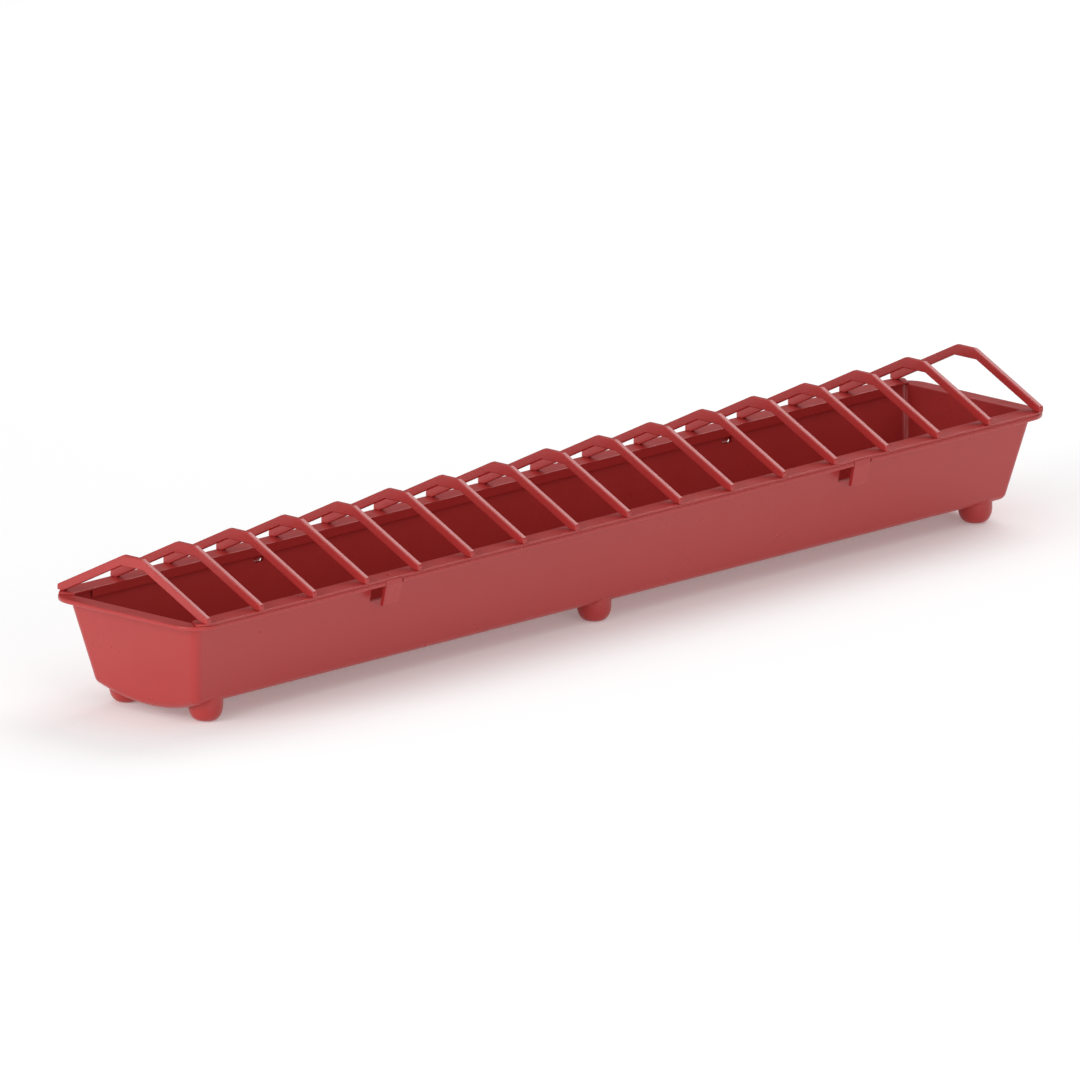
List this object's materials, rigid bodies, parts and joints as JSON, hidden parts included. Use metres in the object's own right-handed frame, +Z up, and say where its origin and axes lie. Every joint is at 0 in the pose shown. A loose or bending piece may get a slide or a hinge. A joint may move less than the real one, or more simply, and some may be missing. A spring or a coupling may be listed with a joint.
{
  "type": "chick trough feeder",
  "caption": "Long plastic chick feeder: a trough with a rim flange and round feet, closed by a clip-on grille of arched bars that lifts off for filling.",
  "frame": {"origin": "on the ground plane, under the middle of the trough", "axes": "+X along the trough from its left end to its right end, +Y from the front long side to the back one, +Z up"},
  "size_m": [0.5, 0.084, 0.0662],
  "materials": {
    "trough_plastic": "satin moulded polypropylene, red",
    "grille_plastic": "satin moulded polypropylene, red"
  },
  "bodies": {
    "trough": {"trough": "trough_plastic", "foot_front_left": "trough_plastic", "foot_front_middle": "trough_plastic", "foot_front_right": "trough_plastic", "foot_back_left": "trough_plastic", "foot_back_middle": "trough_plastic", "foot_back_right": "trough_plastic"},
    "grille": {"rail_front": "grille_plastic", "rail_back": "grille_plastic", "bar_01": "grille_plastic", "bar_02": "grille_plastic", "bar_03": "grille_plastic", "bar_04": "grille_plastic", "bar_05": "grille_plastic", "bar_06": "grille_plastic", "bar_07": "grille_plastic", "bar_08": "grille_plastic", "bar_09": "grille_plastic", "bar_10": "grille_plastic", "bar_11": "grille_plastic", "bar_12": "grille_plastic", "bar_13": "grille_plastic", "bar_14": "grille_plastic", "bar_15": "grille_plastic", "bar_16": "grille_plastic", "bar_17": "grille_plastic", "clip_front_left": "grille_plastic", "clip_front_right": "grille_plastic", "clip_back_left": "grille_plastic", "clip_back_right": "grille_plastic"}
  },
  "joints": [
    {"name": "grille_lift", "type": "slide", "parent": "trough", "child": "grille", "axis": [0, 0, 1], "range_m": [0, 0.06], "deforming": ["clip_front_left", "clip_front_right", "clip_back_left", "clip_back_right"]}
  ]
}
